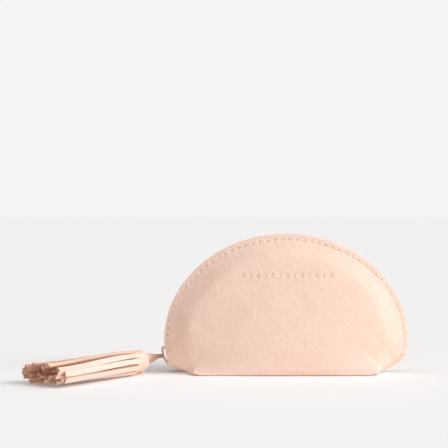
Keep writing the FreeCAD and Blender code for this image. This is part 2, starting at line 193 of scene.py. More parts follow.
def fibre_leather(name, light, dark, stretch=(0.5, 0.5, 0.5), depth=0.8):
    """The flesh side or a cut edge: matt, fibrous, uneven brown."""
    n = Nodes(name)
    place = n.uv(stretch)
    fibres = n.noise(place, 2.6, 6.0, 0.72, 1.2)
    clumps = n.noise(place, 0.5, 4.0, 0.6)
    tone = n.share(clumps, 0.45, fibres)
    n.set(Base_Color=n.ramp(tone, [(0.32, dark), (0.62, light)]))
    n.set(Roughness=0.88, Specular_IOR_Level=0.18, Sheen_Weight=0.25, Sheen_Roughness=0.6)
    n.set(Normal=n.bump(fibres, depth, 0.0003))
    return n.material


def thread_material():
    n = Nodes("waxed_thread")
    place = n.uv()
    twist = n.add("ShaderNodeTexWave", {"Vector": place, "Scale": 1.4, "Distortion": 1.0, "Detail": 1.0},
                  wave_type="BANDS", bands_direction="DIAGONAL")
    tone = n.share(twist.outputs["Fac"], 0.55, n.noise(place, 5.0, 3.0))
    # The waxed thread's own pale tone, raised brighter than the leather as a painted highlight on each stitch.
    n.set(Base_Color=n.ramp(tone, [(0.2, srgb(244, 218, 200)), (0.75, srgb(255, 240, 228))]))
    n.set(Roughness=0.6, Sheen_Weight=0.15)
    n.set(Normal=n.bump(twist.outputs["Fac"], 0.6, 0.00012))
    return n.material


def tape_material():
    n = Nodes("zip_tape_weave")
    place = n.uv()
    along = n.add("ShaderNodeTexWave", {"Vector": place, "Scale": 0.55, "Distortion": 0.6, "Detail": 1.0},
                  bands_direction="X")
    across = n.add("ShaderNodeTexWave", {"Vector": place, "Scale": 0.75, "Distortion": 0.4, "Detail": 1.0},
                   bands_direction="DIAGONAL")
    weave = n.math("MULTIPLY", along.outputs["Fac"], across.outputs["Fac"])
    tone = n.share(weave, 0.6, n.noise(place, 4.0, 3.0))
    n.set(Base_Color=n.ramp(tone, [(0.1, srgb(176, 138, 112)), (0.8, srgb(226, 192, 166))]))
    n.set(Roughness=0.85, Sheen_Weight=0.3, Sheen_Roughness=0.5)
    n.set(Normal=n.bump(weave, 0.8, 0.0002))
    return n.material


def metal_material():
    """Rose-gold plating, polished by use, with a faint orange-peel and hairline scratches."""
    n = Nodes("rose_gold_plating")
    place = n.uv()
    smear = n.noise(place, 0.6, 4.0, 0.6)
    scratch = n.noise(n.uv((0.25, 3.0, 1)), 3.0, 3.0, 0.7)
    n.set(Base_Color=n.ramp(smear, [(0.3, srgb(232, 190, 168)), (0.7, srgb(250, 222, 206))]))
    n.set(Metallic=1.0, Roughness=n.math("MULTIPLY_ADD", scratch, 0.22, 0.18))
    n.set(Normal=n.bump(smear, 0.12, 0.0002))
    return n.material


SKIN = srgb(252, 220, 202)
SHADE = srgb(244, 206, 182)
LEATHER_SKIN = grain_leather("pebbled_leather", SKIN, SHADE, 2.2, 0.62)
LEATHER_FLESH = fibre_leather("leather_flesh_side", srgb(214, 172, 142), srgb(170, 122, 92))
LEATHER_EDGE = fibre_leather("leather_cut_edge", srgb(236, 200, 174), srgb(206, 160, 130), (0.4, 1.6, 1))
STRAND_SKIN = grain_leather("tassel_leather", srgb(251, 219, 203), srgb(242, 205, 186), 1.5, 0.30, 0.7)
BAND_SKIN = grain_leather("tassel_band_leather", srgb(246, 214, 194), srgb(238, 202, 180), 1.5, 0.30, 0.7)
STRAND_EDGE = fibre_leather("strand_cut_edge", srgb(242, 192, 158), srgb(186, 130, 100), (0.3, 1.8, 1))
STRAND_END = fibre_leather("strand_rough_end", srgb(230, 170, 134), srgb(136, 88, 64), (1.6, 1.6, 1), 1.0)
# Needle holes: the brown of the cut fibres, darkened further as painted shade inside each hole.
HOLE_FIBRE_AND_SHADE = fibre_leather("needle_hole", srgb(150, 104, 78), srgb(112, 72, 52))
THREAD = thread_material()
TAPE = tape_material()
METAL = metal_material()


# ---------- mesh helpers

def new_object(name, points, faces, uvs, materials, face_material=None):
    """A mesh object from points in millimetres; uvs holds one pair for each point, in millimetres."""
    mesh = bpy.data.meshes.new(name)
    mesh.from_pydata([tuple(float(c) * MM for c in p) for p in points], [], faces)
    layer = mesh.uv_layers.new(name="millimetres")
    flat = np.asarray(uvs, dtype=float)
    corners = np.empty(len(mesh.loops), dtype=np.int32)
    mesh.loops.foreach_get("vertex_index", corners)
    layer.data.foreach_set("uv", flat[corners].ravel())
    for material in materials:
        mesh.materials.append(material)
    if face_material is not None:
        mesh.polygons.foreach_set("material_index", np.asarray(face_material, dtype=np.int32))
    mesh.polygons.foreach_set("use_smooth", np.full(len(mesh.polygons), True))
    mesh.validate()
    mesh.update()
    thing = bpy.data.objects.new(name, mesh)
    bpy.context.scene.collection.objects.link(thing)
    return thing


def edit_mesh(thing, edit):
    work = bmesh.new()
    work.from_mesh(thing.data)
    edit(work)
    work.to_mesh(thing.data)
    work.free()


def apply_modifier(thing, name):
    bpy.context.view_layer.objects.active = thing
    bpy.ops.object.modifier_apply(modifier=name)


class Builder:
    """Collects several shapes into the points and faces of one object."""

    def __init__(self):
        self.points, self.faces, self.uvs, self.marks = [], [], [], []

    def tube(self, rows, uv_rows, mark=0, end_mark=0):
        """Closed rings of points joined by quads, with a face over the first ring and the last."""
        first = len(self.points)
        count = len(rows[0])
        for row, uv_row in zip(rows, uv_rows):
            self.points.extend(row)
            self.uvs.extend(uv_row)
        for i in range(len(rows) - 1):
            for j in range(count):
                a, b = first + i * count + j, first + i * count + (j + 1) % count
                self.faces.append((a, b, b + count, a + count))
                self.marks.append(mark[j] if isinstance(mark, list) else mark)
        last = first + (len(rows) - 1) * count
        self.faces.append(tuple(first + j for j in range(count))[::-1])
        self.faces.append(tuple(last + j for j in range(count)))
        self.marks += [end_mark, end_mark]

    def sweep(self, centres, frames, section, section_uv, marks, uv_start=(0, 0), end_mark=0, scale=None, torn=None):
        """Moves a closed section along centres. frames gives (side, up) for each; both ends are capped.

        torn gives how far each point of the last section reaches past it, for a rough end.
        """
        travelled, rows, uv_rows = 0.0, [], []
        for k, (centre, (side, up)) in enumerate(zip(centres, frames)):
            if k:
                travelled += (centre - centres[k - 1]).length
            grow = scale[k] if scale else (1, 1)
            row = [centre + side * (x * grow[0]) + up * (y * grow[1]) for x, y in section]
            if torn and k == len(centres) - 1:
                ahead = (centre - centres[k - 1]).normalized()
                row = [p + ahead * reach for p, reach in zip(row, torn)]
            rows.append(row)
            uv_rows.append([(uv_start[0] + travelled, uv_start[1] + v) for v in section_uv])
        self.tube(rows, uv_rows, marks, end_mark)

    def make(self, name, materials):
        thing = new_object(name, self.points, self.faces, self.uvs, materials, self.marks)
        edit_mesh(thing, lambda work: bmesh.ops.recalc_face_normals(work, faces=work.faces))
        return thing


def bezier(a, b, c, d, t):
    return a * (1 - t) ** 3 + b * (3 * t * (1 - t) ** 2) + c * (3 * t * t * (1 - t)) + d * t ** 3


def heading(points, k):
    """Direction of a line of points at its place k."""
    return (points[min(k + 1, len(points) - 1)] - points[max(k - 1, 0)]).normalized()


def smooth(t):
    t = np.clip(t, 0, 1)
    return t * t * (3 - 2 * t)


def ellipse(half_x, half_y, count):
    angles = (2 * math.pi * k / count for k in range(count))
    return [(half_x * math.cos(a), half_y * math.sin(a)) for a in angles]


def rounded_box(half_x, half_y, radius, steps):
    """Section of a flat strip with rounded edges."""
    points = []
    for cx, cy, start in ((1, 1, 0), (-1, 1, 90), (-1, -1, 180), (1, -1, 270)):
        for k in range(steps + 1):
            a = math.radians(start + 90 * k / steps)
            points.append((cx * (half_x - radius) + radius * math.cos(a),
                           cy * (half_y - radius) + radius * math.sin(a)))
    return points


def crease(mesh_object, angle):
    """Keeps edges sharper than angle, in degrees, crisp."""
    for edge in mesh_object.data.edges:
        edge.use_edge_sharp = False
    mesh_object.data.set_sharp_from_angle(angle=math.radians(angle))


# ---------- leather shell

def reach_at(table, z):
    heights, reaches = zip(*table)
    return np.interp(z, heights, reaches)


def belly(x):
    """Half depth of the shell at the fold height."""
    fullness = 2.4
    return RIM_GAP + (BELLY - RIM_GAP) * (1 - np.minimum(1, np.abs(x) / SHOULDER) ** fullness)


def rim_height(u):
    return DOME_CENTRE + DOME_RISE * np.sqrt(np.maximum(0, 1 - u * u))


def wall_point(u, z):
    """Outer face of the low wall and end corner: u from -1 to 1, height z up to the fold height."""
    table_reach = np.where(u < 0, reach_at(END_LEFT, z), reach_at(END_RIGHT, z))
    foot = np.where(u < 0, FOOT_LEFT, FOOT_RIGHT)
    grown = (table_reach - foot) / (SHOULDER - foot)
    share = np.abs(u)
    end_taper, corner_width, corner_pull = 0.97, 0.07, (0.5, 0.6)
    foot_x = foot * np.minimum(1, share / CORNER)
    foot_y = BASE_DEPTH * (1 - end_taper * np.maximum(0, share - CORNER) / (1 - CORNER))
    top_x, top_y = SHOULDER * share, belly(SHOULDER * share)
    x = foot_x + (top_x - foot_x) * grown
    y = foot_y + (top_y - foot_y) * grown
    below = FOLD_ROUND - np.minimum(z, FOLD_ROUND)
    tuck = FOLD_ROUND - math.sqrt(FOLD_ROUND ** 2 - below ** 2)
    corner = np.exp(-((share - CORNER) / corner_width) ** 2)
    y = y - tuck * np.clip(y / 8, 0, 1) - corner_pull[1] * corner * (1 - grown)
    x = x - corner_pull[0] * tuck * corner
    return np.sign(u) * x, y


def dome_point(u, w, v, drop=0.0):
    """Outer face above the fold height: v from 0 at the fold to 1 at the rim.

    u places the column on the rim and w on the fold, both from -1 to 1. The rim lies flat for a
    few millimetres outside the stitching, and the leather swells from there.
    """
    x0, y0 = SHOULDER * w, belly(SHOULDER * w)
    x = x0 + (DOME_HALF * u - x0) * v
    z = FOLD_HEIGHT + (rim_height(u) - drop - FOLD_HEIGHT) * v
    y = RIM_GAP + (y0 - RIM_GAP) * (1 - v ** 1.5)
    inset = DOME_HALF - np.hypot(x, (np.maximum(z, DOME_CENTRE) - DOME_CENTRE) * DOME_HALF / DOME_RISE)
    swell = smooth((inset - STITCH_INSET + 0.4) / 15)
    high = smooth((z - 6) / 22)
    rim_drop, shoulder_gain = 1.5, 1.6
    y = y - rim_drop * (1 - swell) * high
    return x, y + shoulder_gain * swell * (1 - smooth((inset - 10) / 34)) * high, z


def stitch_line():
    """Fine row of (x, z) places along the stitching, and the chosen hole places one pitch apart."""
    lowest_left, lowest_right = 15.5, 10.5
    fine = []
    for z in np.linspace(lowest_left, DOME_CENTRE, 60):
        fine.append((-(edge_reach(END_LEFT, z) - LEFT_INSET), z))
    for k in range(1, 900):
        a = math.pi * k / 900
        inset = STITCH_INSET + (LEFT_INSET - STITCH_INSET) * max(0, math.cos(a)) ** 3
        inset += (RIGHT_INSET - STITCH_INSET) * max(0, -math.cos(a)) ** 3
        fine.append((-(DOME_HALF - inset) * math.cos(a), DOME_CENTRE + (DOME_RISE - inset) * math.sin(a)))
    for z in np.linspace(DOME_CENTRE, lowest_right, 50):
        fine.append((edge_reach(END_RIGHT, z) - RIGHT_INSET, z))
    chosen, travelled = [fine[0]], 0.0
    for a, b in zip(fine, fine[1:]):
        travelled += math.dist(a, b)
        if travelled >= STITCH_PITCH:
            chosen.append(b)
            travelled -= STITCH_PITCH
    return fine, chosen


def edge_reach(table, z):
    """Half width of the outline below the middle of the rim's ellipse."""
    return float(reach_at(table + [(DOME_CENTRE, DOME_HALF)], z))


STITCH_FINE, STITCHES = stitch_line()


def line_distance(x, z, a, b):
    """Distance from places to a straight line in the front view, and how far along it they are."""
    dx, dz = b[0] - a[0], b[1] - a[1]
    t = np.clip(((x - a[0]) * dx + (z - a[1]) * dz) / (dx * dx + dz * dz), 0, 1)
    return np.hypot(x - a[0] - t * dx, z - a[1] - t * dz), t


def ornament_height(x, z):
    """Pressed-in row of plain hollow lozenges and bars, as a depth from 0 to 1."""
    middle, pitch, soft = 66.4, 4.9, 0.28
    lozenge, hollow_size, bar = (1.55, 2.35), (0.75, 1.15), (0.55, 1.6)
    depth = np.zeros_like(x)
    for k in range(-6, 7):
        dx, dz = np.abs(x - k * pitch), np.abs(z - middle)
        if k % 2 == 0:
            inside = 1 - (dx / lozenge[0] + dz / lozenge[1])
            hollow = 1 - (dx / hollow_size[0] + dz / hollow_size[1])
            shape = smooth(inside / soft) * (1 - smooth(hollow / soft))
        else:
            shape = smooth(np.minimum(bar[0] - dx, bar[1] - dz) / 0.3)
        depth = np.maximum(depth, shape)
    return depth


# Creases of the leather near its corners: start and end (x, z), depth and half width. A negative depth is a
# soft ridge.
CREASES = (((65.0, 3.2), (54.0, 14.5), 0.55, 1.6), ((-66.0, 2.2), (-57.0, 15.0), 0.45, 1.9),
           ((72.0, 9.0), (58.0, 27.0), 0.30, 2.6), ((-77.0, 9.0), (-66.0, 20.0), 0.35, 2.4),
           ((44.0, 6.0), (63.0, 16.0), 0.14, 1.4), ((-46.0, 5.0), (-64.0, 13.0), 0.14, 1.4),
           ((52.0, 12.0), (74.0, 30.0), 0.10, 1.3), ((-80.0, 36.0), (-70.0, 9.0), 0.75, 5.0),
           ((-70.0, 40.0), (-62.0, 12.0), -1.1, 8.0))


def shell_relief(x, z, front):
    """How far the leather stands in or out of the smooth shape, in millimetres."""
    relief = np.zeros_like(x)
    nearest = np.full_like(x, 99.0)
    for a, b in zip(STITCH_FINE[::6], STITCH_FINE[6::6]):
        nearest = np.minimum(nearest, line_distance(x, z, a, b)[0])
    relief -= 0.09 * np.exp(-(nearest / 1.1) ** 2)
    relief += 0.08 * np.exp(-((nearest - 2.4) / 1.2) ** 2)
    holes = np.full_like(x, 99.0)
    for hx, hz in STITCHES:
        holes = np.minimum(holes, np.hypot(x - hx, z - hz))
    relief -= 0.34 * np.exp(-(holes / 0.75) ** 2)
    for start, end, deep, wide in CREASES:
        away, t = line_distance(x, z, start, end)
        relief -= deep * np.exp(-(away / wide) ** 2) * np.sin(np.pi * (0.12 + 0.76 * t))
    if front:
        relief -= 0.42 * ornament_height(x, z)
    return relief


def soft_noise(points, size, seed):
    """Smooth random numbers, about -1 to 1, over places in space."""
    shift = Vector((seed * 13.1, seed * 7.7, seed * 3.3))
    return np.array([noise.noise(Vector(p) / size + shift) for p in points])


OUTER = {}


def keep_surface(mesh, sign):
    """Keeps the outer face, so that the stitches can be set on it."""
    OUTER[sign] = BVHTree.FromPolygons([v.co / MM for v in mesh.vertices], [p.vertices for p in mesh.polygons])


def surface_at(sign, x, z):
    """Place on the outer face behind a point of the front view, and its outward direction."""
    hit, normal, _, _ = OUTER[sign].ray_cast(Vector((x, sign * 200, z)), Vector((0, -sign, 0)))
    if normal.y * sign < 0:
        normal = -normal
    return hit, normal


def shell_grid(detailed):
    """Rows of places on the front half's smooth outer face, with their UVs and how the rows divide.

    The rows run from the middle of the base over the fold to the rim. The ornament's area has finer ones.
    """
    columns = 330 if detailed else 250
    angles = np.linspace(0, math.pi, columns)
    us = -np.cos(angles)
    if detailed:
        middle = np.linspace(-0.40, 0.40, 190)
        us = np.sort(np.concatenate([us[np.abs(us) > 0.402], middle]))
    us[0], us[-1] = -1, 1
    even = np.arccos(-us) / math.pi * 2 - 1
    ws = 0.45 * us + 0.55 * even
    inner_share, back_rim_drop = 0.97, 0.8
    floor_rows = np.linspace(0, 1, 12)
    wall_rows = np.concatenate([np.linspace(0, 3, 9), np.linspace(3.5, FOLD_HEIGHT, 18)])
    dome_rows = np.linspace(0, 1, 118 if detailed else 96)[1:]
    if detailed:
        fine = np.linspace(0.60, 0.75, 40)
        dome_rows = np.sort(np.concatenate([dome_rows[(dome_rows < 0.598) | (dome_rows > 0.752)], fine]))
    grid, uv = [], []

    def add_row(x, y, z, up):
        grid.append(np.stack([x, -y, z], axis=1))
        uv.append(np.stack([x, up], axis=1))

    foot_x, foot_y = wall_point(ws, 0.0)
    inner_x = np.where(ws < 0, FOOT_LEFT, FOOT_RIGHT) * ws * inner_share
    for f in floor_rows[:-1]:
        add_row(inner_x + (foot_x - inner_x) * f, foot_y * f, np.zeros_like(ws), -(1 - f) * foot_y)
    for z in wall_rows:
        level = np.full_like(ws, z)
        add_row(*wall_point(ws, z), level, level)
    for v in dome_rows:
        x, y, z = dome_point(us, ws, v, 0.0 if detailed else back_rim_drop)
        add_row(x, y, z, z)
    return np.array(grid), np.array(uv), us, ws, floor_rows


def soften_corners(grid, ws, floor_rows):
    """Rounds the folds of the low wall and the base corners, and bows the bottom edge up a little."""
    rows = len(grid)
    wall = len(floor_rows) - 1
    low_part = (grid[:, :, 2] < 40) & (np.arange(rows)[:, None] > wall)
    near_corner = smooth((24 - grid[:, :, 2]) / 10) * (np.arange(rows)[:, None] >= wall)
    inner = smooth((1 - np.abs(ws)) / 0.05)[None, :]
    near_corner = near_corner * inner * (0.35 + 0.65 * smooth((grid[:, :, 2] - 3) / 5))
    passes, bow, corner_lift = 34, 0.4, 1.1
    for _ in range(passes):
        softer = grid.copy()
        softer[1:-1] = (grid[:-2] + 2 * grid[1:-1] + grid[2:]) / 4
        weight = (low_part * smooth((38 - grid[:, :, 2]) / 12) * inner)[..., None]
        grid = grid + (softer - grid) * weight
        softer = grid.copy()
        softer[:, 1:-1] = (grid[:, :-2] + 2 * grid[:, 1:-1] + grid[:, 2:]) / 4
        grid = grid + (softer - grid) * near_corner[..., None]
    bowed = np.exp(-grid[:, :, 2] / 1.5)
    bowed[:wall] = (floor_rows[:-1] ** 8)[:, None]
    grid[:, :, 2] += bow * bowed * smooth((0.88 - np.abs(ws)) / 0.1)
    lifted = np.exp(-grid[:, :, 2] / 3.0)
    lifted[:wall] = (floor_rows[:-1] ** 6)[:, None]
    grid[:, :, 2] += corner_lift * lifted * np.exp(-((np.abs(ws) - CORNER) / 0.045) ** 2)
    return grid


def grid_normals(grid, wall):
    """Outward directions over the front half; wall is the first row of the low wall."""
    normal = np.cross(np.gradient(grid, axis=1), np.gradient(grid, axis=0))
    normal = normal / np.maximum(np.linalg.norm(normal, axis=2, keepdims=True), 1e-9)
    facing = np.where(normal[..., 1:2] > 0, -1, 1)
    normal[wall + 1:] *= facing[wall + 1:]
    normal[:wall] = (0, 0, -1)
    normal[wall] = (0, -0.7, -0.7)
    normal[:, :4], normal[:, -4:] = normal[:, 4:5], normal[:, -5:-4]
    return normal


def shell_half(name, sign, detailed):
    """One half of the shell, with its thickness. sign is -1 for the front and 1 for the back."""
    grid, uv, us, ws, floor_rows = shell_grid(detailed)
    grid = soften_corners(grid, ws, floor_rows)
    wall = len(floor_rows) - 1
    normal = grid_normals(grid, wall)
    rows, count = grid.shape[:2]

    flat = grid.reshape(-1, 3)
    x, z = flat[:, 0], flat[:, 2]
    seed = 1 if sign < 0 else 2
    relief = shell_relief(x, z, sign < 0)
    relief += 0.42 * soft_noise(flat * (1, 0.6, 1), 34, seed) + 0.16 * soft_noise(flat, 11, seed + 5)
    relief += 0.05 * soft_noise(flat, 4, seed + 8)
    roll = 0.22 * np.exp(-((z - 1.0) / 0.7) ** 2) - 0.26 * np.exp(-((z - 2.5) / 0.8) ** 2)
    relief += roll * smooth((FOOT_RIGHT + 3 - np.abs(x)) / 6)
    fade = np.ones((rows, count))
    fade[:wall] = 0
    fade[wall] = 0.3
    relief = relief * fade.reshape(-1)
    flat = flat + normal.reshape(-1, 3) * relief[:, None]
    edge_wave = 0.28 * soft_noise(flat * (1, 0, 1), 16, seed + 11)
    rim = np.zeros((rows, count))
    rim[-6:] = np.linspace(0.2, 1, 6)[:, None] * smooth((1 - np.abs(us)) / 0.06)
    flat[:, 1] += edge_wave * rim.reshape(-1)
    flat[:, 2] = np.maximum(flat[:, 2], 0.0)
    if sign > 0:
        flat[:, 1] *= -1

    faces = []
    for i in range(rows - 1):
        for j in range(count - 1):
            a = i * count + j
            quad = (a, a + 1, a + count + 1, a + count)
            faces.append(quad if sign < 0 else quad[::-1])
    shell = new_object(name, flat, faces, uv.reshape(-1, 2), [LEATHER_SKIN, LEATHER_FLESH, LEATHER_EDGE])
    edit_mesh(shell, lambda work: bmesh.ops.remove_doubles(work, verts=work.verts, dist=0.02 * MM))
    keep_surface(shell.data, sign)
    thick = shell.modifiers.new("thickness", "SOLIDIFY")
    thick.thickness = LEATHER * MM
    thick.offset = -1
    thick.use_even_offset = False
    thick.material_offset = 1
    thick.material_offset_rim = 2
    apply_modifier(shell, "thickness")
    for v in shell.data.vertices:
        v.co.z = max(v.co.z, 0.0)
    return shell


front_shell = shell_half("leather_front_half", -1, True)
back_shell = shell_half("leather_back_half", 1, False)


def bend_with_panel(thing):
    """Bakes the piece's placement into its mesh."""
    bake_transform(thing)


bend_with_panel(front_shell)
bend_with_panel(back_shell)
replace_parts(front_shell, "leather_front", "leather_base")
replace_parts(back_shell, "leather_back", "leather_base")


# ---------- stitching

def stitch_pieces(sign):
    """Thread and needle holes of one side, half sunk in the leather. The holes are dark pieces: cut-fibre brown with
    painted shade.
    """
    thread, holes = Builder(), Builder()
    section = ellipse(0.36, 0.28, 8)
    slit_long, slit_wide, slit_lean, around = 0.82, 0.50, 0.6, 12
    end_gap, thread_lean = 0.13, 0.18
    rng = random.Random(5 if sign < 0 else 6)
    places = [surface_at(sign, x, z) for x, z in STITCHES]
    for k, ((a, na), (b, nb)) in enumerate(zip(places, places[1:])):
        run = b - a
        slant = run.normalized().cross(na) * thread_lean * -sign
        start, end = a + run * end_gap + slant, b - run * end_gap - slant
        centres, frames = [], []
        for i in range(9):
            t = i / 8
            lift = 0.30 + 0.10 * math.sin(math.pi * t) - (0.9 if i in (0, 8) else 0.22 if i in (1, 7) else 0)
            outward = (na.lerp(nb, t)).normalized()
            centre = start.lerp(end, t) + outward * lift
            side = run.normalized().cross(outward).normalized()
            centres.append(centre)
            frames.append((side, outward))
        thread.sweep(centres, frames, section, [j * 0.28 for j in range(8)], 0,
                     (k * 7.3 + rng.random(), rng.random() * 9))
    # Dark slits sunk into the hole dents: painted shade over the cut fibres' brown.
    for k, (a, na) in enumerate(places):
        along = heading([place for place, _ in places], k)
        across = along.cross(na).normalized()
        long = (along - across * slit_lean * sign).normalized()
        short = long.cross(na).normalized()
        rows, uv_rows = [], []
        for grow, sink in ((0.02, -0.5), (1.0, -0.3), (1.0, 0.06), (0.85, 0.12), (0.5, 0.0), (0.02, -0.08)):
            rows.append([a + long * p + short * q + na * sink
                         for p, q in ellipse(slit_long * grow, slit_wide * grow, around)])
            uv_rows.append([(k * 3 + grow * math.cos(j), grow * math.sin(j)) for j in range(around)])
        holes.tube(rows, uv_rows)
    side = "front" if sign < 0 else "back"
    return thread.make(f"stitch_thread_{side}", [THREAD]), holes.make(f"needle_holes_{side}", [HOLE_FIBRE_AND_SHADE])


for sign, side in ((-1, "front"), (1, "back")):
    thread, holes = stitch_pieces(sign)
    bend_with_panel(thread)
    bend_with_panel(holes)
    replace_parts(thread, f"stitching_{side}", "stitching_left_end", "stitching_right_end")


# ---------- zip

def zip_frame(degrees):
    """Point on the zip's line, its outward direction and its direction of travel."""
    a = math.radians(degrees)
    out = Vector((math.sin(a), 0, math.cos(a)))
    ahead = Vector((math.cos(a), 0, -math.sin(a)))
    return Vector((0, 0, ZIP_CENTRE)) + out * ZIP_RADIUS, out, ahead


# Section of one tape: (outward, away from the middle). The round part near 2.5 is the corded bead.
TAPE_SECTION = [(-7.0, 8.05), (-5.0, 7.7), (-2.6, 7.0), (-0.9, 6.35), (-0.05, 5.6), (0.22, 4.4), (0.25, 3.3),
                (0.62, 2.95), (0.75, 2.5), (0.55, 2.1), (0.0, 1.95), (-0.55, 2.1), (-0.75, 2.5), (-0.62, 2.95),
                (-0.30, 3.3), (-0.33, 4.4), (-0.65, 5.4), (-1.5, 5.95), (-3.2, 6.5), (-5.2, 7.15), (-7.0, 7.5)]
# Half outline of a tooth from head to legs: (away from the middle, half thickness).
TOOTH_SECTION = [(-0.55, 0.62), (-0.15, 0.98), (0.5, 1.1), (1.1, 1.0), (1.75, 1.02), (2.5, 1.1), (3.1, 0.98),
                 (3.35, 0.72)]


def zip_tape(sign):
    """Woven tape with a corded bead at the teeth, dipping under the rim and down its inner face."""
    tape = Builder()
    rows, uv_rows = [], []
    steps, tuck_degrees = 220, 9.0
    for k in range(steps + 1):
        degrees = -ZIP_LEFT + (ZIP_LEFT + ZIP_RIGHT) * k / steps
        centre, out, _ = zip_frame(degrees)
        near_end = min(degrees + ZIP_LEFT, ZIP_RIGHT - degrees)
        keep = float(smooth(near_end / tuck_degrees))
        rows.append([centre + out * (o * (keep if o < -0.7 else 1)) + Vector((0, sign * min(y, 5.6 + 3 * keep), 0))
                     for o, y in TAPE_SECTION])
        uv_rows.append([(math.radians(degrees) * ZIP_RADIUS, j * 0.9) for j in range(len(TAPE_SECTION))])
    tape.tube(rows, uv_rows)
    side = "front" if sign < 0 else "back"
    return tape.make(f"zip_tape_{side}", [TAPE])


def zip_teeth(sign):
    """Cast metal teeth; the two rows are half a pitch apart and their heads reach past the middle."""
    teeth = Builder()
    step = math.degrees(TOOTH_PITCH / ZIP_RADIUS)
    shift = 0.0 if sign < 0 else 0.5
    ring = TOOTH_SECTION + [(a, -t) for a, t in reversed(TOOTH_SECTION)]
    index = math.ceil((-ZIP_LEFT + 1.6) / step)
    while (index + shift) * step < ZIP_RIGHT - 1.6:
        centre, out, ahead = zip_frame((index + shift) * step)
        rows, uv_rows = [], []
        for along, shrink, head in ((-0.55, 0.80, 0.10), (-0.42, 0.96, 0.0), (0.42, 0.96, 0.0), (0.55, 0.80, 0.10)):
            row = []
            for a, t in ring:
                reach = a + head * (1 if a < 0.3 else 0)
                row.append(centre + ahead * along + out * (t * shrink) + Vector((0, sign * reach, 0)))
            rows.append(row)
            uv_rows.append([(index * 2.1 + a, t + along) for a, t in ring])
        teeth.tube(rows, uv_rows)
        index += 1
    side = "front" if sign < 0 else "back"
    return teeth.make(f"zip_teeth_{side}", [METAL])


for sign, side in ((-1, "front"), (1, "back")):
    tape, teeth = zip_tape(sign), zip_teeth(sign)
    crease(teeth, 35)
    bend_with_panel(tape)
    bend_with_panel(teeth)
    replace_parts(tape, f"zipper_tape_{side}", "tape_end_left", "tape_end_right")
    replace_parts(teeth, f"zipper_teeth_{side}", "end_teeth_left", "end_teeth_right")


def polish(thing, width):
    """Rounds the edges of a metal piece."""
    bevel = thing.modifiers.new("soft_edges", "BEVEL")
    bevel.width = width * MM
    bevel.segments = 3
    bevel.limit_method = "ANGLE"
    bevel.angle_limit = math.radians(28)
    apply_modifier(thing, "soft_edges")
    thing.data.polygons.foreach_set("use_smooth", np.full(len(thing.data.polygons), True))
    crease(thing, 40)


def zip_stop(name, spans, degrees):
    """Small metal bars clamped over the tape at the end of the chain; each span is a pair of y values."""
    stops = Builder()
    outline = ((-1, -0.55), (-0.8, -1), (0, -1.08), (0.8, -1), (1, -0.55),
               (1, 0.55), (0.8, 1), (0, 1.08), (-0.8, 1), (-1, 0.55))
    half_high = 1.1
    centre, out, ahead = zip_frame(degrees)
    for low, high in spans:
        rows, uv_rows = [], []
        for turn, shrink in ((-0.6, 0.7), (-0.42, 1.0), (0.42, 1.0), (0.6, 0.7)):
            middle, half = (low + high) / 2, (high - low) / 2 * (0.9 + 0.1 * shrink)
            row = [centre + ahead * turn + out * (half_high * shrink * b) + Vector((0, middle + half * a, 0))
                   for a, b in outline]
            rows.append(row)
            uv_rows.append([(p.y, turn + k * 0.4) for k, p in enumerate(row)])
        stops.tube(rows, uv_rows)
    made = stops.make(name, [METAL])
    crease(made, 38)
    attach(made, "base")
    return made


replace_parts(zip_stop("zip_top_stops", ((-2.9, -1.0), (1.0, 2.9)), -ZIP_LEFT + 0.9), "top_stops")
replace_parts(zip_stop("zip_bottom_stop", ((-3.1, 3.1),), ZIP_RIGHT - 0.9), "bottom_stop")


def slider_plate(x_near, x_far):
    """A plate of the slider: wide at its mouth, waisted, and rounded at the closing end."""
    outline = []
    half_long, half_wide, narrowing, corner = 5.6, 4.5, 0.55, 1.5
    for k in range(24):
        t = k / 23
        z = -half_long + 2 * half_long * t
        wide = half_wide - narrowing * float(smooth(t / 0.9))
        ends = min(t, 1 - t) * 2 * half_long
        wide -= corner * (1 - math.sqrt(max(0, 1 - (1 - min(1, ends / corner)) ** 2)))
        outline.append((wide, z))
    ring = outline + [(-w, z) for w, z in reversed(outline)]
    return [[Vector((x, y, ZIP_CENTRE + z)) for y, z in ring] for x in (x_near, x_far)]


def make_slider():
    """Two crowned plates, outside and inside the chain, with lips toward each other along both sides."""
    slider = Builder()
    crown, gap, thick = 0.2, 1.35, 0.85
    lip_near, lip_far, lip_gap, closing_squeeze = 3.55, 4.42, 0.62, 0.05
    for direction in (-1, 1):
        inner = -ZIP_RADIUS + direction * gap
        outer = inner + direction * thick
        low_ring, high_ring = slider_plate(inner, outer)
        middle = Vector((outer, 0, ZIP_CENTRE))
        domed = [p.lerp(middle, 0.16) + Vector((direction * crown * 0.7, 0, 0)) for p in high_ring]
        crest = [p.lerp(middle, 0.55) + Vector((direction * crown, 0, 0)) for p in high_ring]
        rows = [low_ring, high_ring, domed, crest]
        slider.tube(rows, [[(p.y, p.z) for p in row] for row in rows])
        x0, x1 = inner, -ZIP_RADIUS + direction * lip_gap
        for side in (-1, 1):
            y0, y1 = side * lip_near, side * lip_far
            rows = [[Vector((x, y - side * squeeze, ZIP_CENTRE + z))
                     for x, y in ((x0, y0), (x1, y0), (x1, y1), (x0, y1))]
                    for z, squeeze in ((-4.6, 0.0), (5.0, closing_squeeze))]
            slider.tube(rows, [[(p.y, p.z) for p in row] for row in rows])
    made = slider.make("slider_casting", [METAL])
    polish(made, 0.16)
    return made


# Line of the bridge wire in the plane of the zip: (outward from the zip's line, above its middle).
BRIDGE_LINE = [(1.7, -5.0), (2.4, -4.9), (3.6, -3.2), (4.7, -1.3), (5.3, 0.4), (5.45, 2.2), (5.75, 3.9), (5.4, 5.3),
               (4.4, 5.8), (3.3, 5.2), (2.5, 4.4), (1.7, 4.2)]


